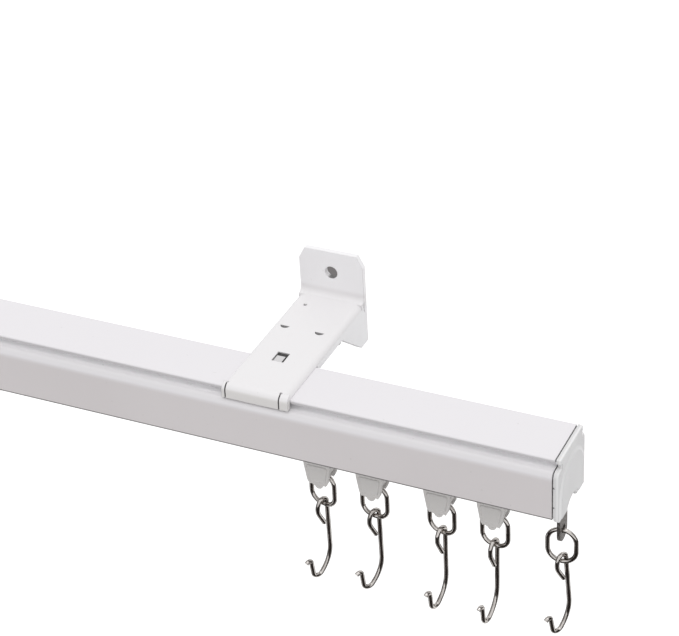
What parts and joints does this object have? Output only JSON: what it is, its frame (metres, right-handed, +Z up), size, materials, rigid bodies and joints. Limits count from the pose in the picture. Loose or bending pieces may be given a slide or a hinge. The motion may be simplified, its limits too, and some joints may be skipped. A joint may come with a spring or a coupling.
{
  "type": "curtain track",
  "caption": "Extruded metal curtain track on wall brackets, with wheeled runners that carry ringed wire hooks and fixed end hooks.",
  "frame": {"origin": "midway between the two wall screws, on the wall", "axes": "+X along the rail towards the pictured end, +Y into the wall, +Z up"},
  "size_m": [0.6084, 0.0597, 0.0908],
  "materials": {
    "rail_enamel": "satin",
    "bracket_enamel": "satin",
    "clamp_zinc": "satin",
    "cap_plastic": "satin",
    "bare_steel": "satin",
    "bright_wire": "polished",
    "wheel_plastic": "satin",
    "runner_plastic": "matte"
  },
  "bodies": {
    "track": {"rail": "rail_enamel", "end_cap_left": "cap_plastic", "end_cap_right": "cap_plastic", "end_tab_left": "bare_steel", "end_tab_right": "bare_steel", "bracket_left": "bracket_enamel", "bracket_right": "bracket_enamel"},
    "runner_1_carriage": {"runner_1_carrier": "runner_plastic"},
    "runner_1_wheelset": {"runner_1_axle": "bare_steel", "runner_1_wheel_front": "wheel_plastic", "runner_1_wheel_rear": "wheel_plastic"},
    "runner_1_link": {"runner_1_ring": "bright_wire"},
    "runner_1_curtain_hook": {"runner_1_hook": "bright_wire"},
    "runner_2_carriage": {"runner_2_carrier": "runner_plastic"},
    "runner_2_wheelset": {"runner_2_axle": "bare_steel", "runner_2_wheel_front": "wheel_plastic", "runner_2_wheel_rear": "wheel_plastic"},
    "runner_2_link": {"runner_2_ring": "bright_wire"},
    "runner_2_curtain_hook": {"runner_2_hook": "bright_wire"},
    "runner_3_carriage": {"runner_3_carrier": "runner_plastic"},
    "runner_3_wheelset": {"runner_3_axle": "bare_steel", "runner_3_wheel_front": "wheel_plastic", "runner_3_wheel_rear": "wheel_plastic"},
    "runner_3_link": {"runner_3_ring": "bright_wire"},
    "runner_3_curtain_hook": {"runner_3_hook": "bright_wire"},
    "runner_4_carriage": {"runner_4_carrier": "runner_plastic"},
    "runner_4_wheelset": {"runner_4_axle": "bare_steel", "runner_4_wheel_front": "wheel_plastic", "runner_4_wheel_rear": "wheel_plastic"},
    "runner_4_link": {"runner_4_ring": "bright_wire"},
    "runner_4_curtain_hook": {"runner_4_hook": "bright_wire"},
    "runner_5_carriage": {"runner_5_carrier": "runner_plastic"},
    "runner_5_wheelset": {"runner_5_axle": "bare_steel", "runner_5_wheel_front": "wheel_plastic", "runner_5_wheel_rear": "wheel_plastic"},
    "runner_5_link": {"runner_5_ring": "bright_wire"},
    "runner_5_curtain_hook": {"runner_5_hook": "bright_wire"},
    "runner_6_carriage": {"runner_6_carrier": "runner_plastic"},
    "runner_6_wheelset": {"runner_6_axle": "bare_steel", "runner_6_wheel_front": "wheel_plastic", "runner_6_wheel_rear": "wheel_plastic"},
    "runner_6_link": {"runner_6_ring": "bright_wire"},
    "runner_6_curtain_hook": {"runner_6_hook": "bright_wire"},
    "end_left_link": {"end_ring_left": "bright_wire"},
    "end_left_curtain_hook": {"end_hook_left": "bright_wire"},
    "end_right_link": {"end_ring_right": "bright_wire"},
    "end_right_curtain_hook": {"end_hook_right": "bright_wire"},
    "clamp_left_jaw": {"clamp_left": "clamp_zinc"},
    "clamp_right_jaw": {"clamp_right": "clamp_zinc"}
  },
  "joints": [
    {"name": "runner_1_slide", "type": "slide", "parent": "track", "child": "runner_1_carriage", "axis": [1, 0, 0], "range_m": [-0.009, 0.0092]},
    {"name": "runner_1_roll", "type": "hinge", "parent": "runner_1_carriage", "child": "runner_1_wheelset", "pos_m": [-0.2776, -0.0475, -0.02455], "axis": [0, 1, 0], "continuous": true},
    {"name": "runner_1_ring_swing", "type": "hinge", "parent": "runner_1_carriage", "child": "runner_1_link", "pos_m": [-0.2776, -0.0475, -0.0435], "axis": [0.9903, 0.1392, 0], "range_deg": [-20, 20]},
    {"name": "runner_1_hook_swing", "type": "hinge", "parent": "runner_1_link", "child": "runner_1_curtain_hook", "pos_m": [-0.2773, -0.04746, -0.05535], "axis": [0.9903, 0.1392, 0], "range_deg": [-45, 45]},
    {"name": "runner_2_slide", "type": "slide", "parent": "track", "child": "runner_2_carriage", "axis": [1, 0, 0], "range_m": [-0.0092, 0.4656]},
    {"name": "runner_2_roll", "type": "hinge", "parent": "runner_2_carriage", "child": "runner_2_wheelset", "pos_m": [-0.257, -0.0475, -0.02455], "axis": [0, 1, 0], "continuous": true},
    {"name": "runner_2_ring_swing", "type": "hinge", "parent": "runner_2_carriage", "child": "runner_2_link", "pos_m": [-0.257, -0.0475, -0.0435], "axis": [0.9925, -0.1219, 0], "range_deg": [-20, 20]},
    {"name": "runner_2_hook_swing", "type": "hinge", "parent": "runner_2_link", "child": "runner_2_curtain_hook", "pos_m": [-0.257, -0.0475, -0.05535], "axis": [0.9925, -0.1219, 0], "range_deg": [-45, 45]},
    {"name": "runner_3_slide", "type": "slide", "parent": "track", "child": "runner_3_carriage", "axis": [1, 0, 0], "range_m": [-0.4656, 0.0063]},
    {"name": "runner_3_roll", "type": "hinge", "parent": "runner_3_carriage", "child": "runner_3_wheelset", "pos_m": [0.22, -0.0475, -0.02455], "axis": [0, 1, 0], "continuous": true},
    {"name": "runner_3_ring_swing", "type": "hinge", "parent": "runner_3_carriage", "child": "runner_3_link", "pos_m": [0.22, -0.0475, -0.0435], "axis": [0.9781, -0.2079, 0], "range_deg": [-20, 20]},
    {"name": "runner_3_hook_swing", "type": "hinge", "parent": "runner_3_link", "child": "runner_3_curtain_hook", "pos_m": [0.21956, -0.04741, -0.05535], "axis": [0.9781, -0.2079, 0], "range_deg": [-45, 45]},
    {"name": "runner_4_slide", "type": "slide", "parent": "track", "child": "runner_4_carriage", "axis": [1, 0, 0], "range_m": [-0.0063, 0.0111]},
    {"name": "runner_4_roll", "type": "hinge", "parent": "runner_4_carriage", "child": "runner_4_wheelset", "pos_m": [0.2377, -0.0475, -0.02455], "axis": [0, 1, 0], "continuous": true},
    {"name": "runner_4_ring_swing", "type": "hinge", "parent": "runner_4_carriage", "child": "runner_4_link", "pos_m": [0.2377, -0.0475, -0.0435], "axis": [0.9925, -0.1219, 0], "range_deg": [-20, 20]},
    {"name": "runner_4_hook_swing", "type": "hinge", "parent": "runner_4_link", "child": "runner_4_curtain_hook", "pos_m": [0.2374, -0.04746, -0.05535], "axis": [0.9925, -0.1219, 0], "range_deg": [-45, 45]},
    {"name": "runner_5_slide", "type": "slide", "parent": "track", "child": "runner_5_carriage", "axis": [1, 0, 0], "range_m": [-0.0111, 0.006]},
    {"name": "runner_5_roll", "type": "hinge", "parent": "runner_5_carriage", "child": "runner_5_wheelset", "pos_m": [0.2602, -0.0475, -0.02455], "axis": [0, 1, 0], "continuous": true},
    {"name": "runner_5_ring_swing", "type": "hinge", "parent": "runner_5_carriage", "child": "runner_5_link", "pos_m": [0.2602, -0.0475, -0.0435], "axis": [0.9848, -0.1736, 0], "range_deg": [-20, 20]},
    {"name": "runner_5_hook_swing", "type": "hinge", "parent": "runner_5_link", "child": "runner_5_curtain_hook", "pos_m": [0.26, -0.04747, -0.05535], "axis": [0.9848, -0.1736, 0], "range_deg": [-45, 45]},
    {"name": "runner_6_slide", "type": "slide", "parent": "track", "child": "runner_6_carriage", "axis": [1, 0, 0], "range_m": [-0.006, 0.009]},
    {"name": "runner_6_roll", "type": "hinge", "parent": "runner_6_carriage", "child": "runner_6_wheelset", "pos_m": [0.2776, -0.0475, -0.02455], "axis": [0, 1, 0], "continuous": true},
    {"name": "runner_6_ring_swing", "type": "hinge", "parent": "runner_6_carriage", "child": "runner_6_link", "pos_m": [0.2776, -0.0475, -0.0435], "axis": [0.9903, -0.1392, 0], "range_deg": [-20, 20]},
    {"name": "runner_6_hook_swing", "type": "hinge", "parent": "runner_6_link", "child": "runner_6_curtain_hook", "pos_m": [0.2773, -0.04746, -0.05535], "axis": [0.9903, -0.1392, 0], "range_deg": [-45, 45]},
    {"name": "end_ring_left_swing", "type": "hinge", "parent": "track", "child": "end_left_link", "pos_m": [-0.299, -0.0475, -0.0435], "axis": [0.9986, -0.0523, 0], "range_deg": [-60, 60]},
    {"name": "end_hook_left_swing", "type": "hinge", "parent": "end_left_link", "child": "end_left_curtain_hook", "pos_m": [-0.299, -0.0475, -0.05535], "axis": [0.9986, -0.0523, 0], "range_deg": [-45, 45]},
    {"name": "end_ring_right_swing", "type": "hinge", "parent": "track", "child": "end_right_link", "pos_m": [0.299, -0.0475, -0.0435], "axis": [0.9986, 0.0523, 0], "range_deg": [-60, 60]},
    {"name": "end_hook_right_swing", "type": "hinge", "parent": "end_right_link", "child": "end_right_curtain_hook", "pos_m": [0.299, -0.0475, -0.05535], "axis": [0.9986, 0.0523, 0], "range_deg": [-45, 45]},
    {"name": "clamp_left_slide", "type": "slide", "parent": "track", "child": "clamp_left_jaw", "axis": [0, 1, 0], "range_m": [0, 0.0022]},
    {"name": "clamp_right_slide", "type": "slide", "parent": "track", "child": "clamp_right_jaw", "axis": [0, 1, 0], "range_m": [0, 0.0022]}
  ],
  "couplings": [
    {"joint": "runner_1_roll", "follows": "runner_1_slide", "rad_per_m": 200},
    {"joint": "runner_2_roll", "follows": "runner_2_slide", "rad_per_m": 200},
    {"joint": "runner_3_roll", "follows": "runner_3_slide", "rad_per_m": 200},
    {"joint": "runner_4_roll", "follows": "runner_4_slide", "rad_per_m": 200},
    {"joint": "runner_5_roll", "follows": "runner_5_slide", "rad_per_m": 200},
    {"joint": "runner_6_roll", "follows": "runner_6_slide", "rad_per_m": 200}
  ]
}
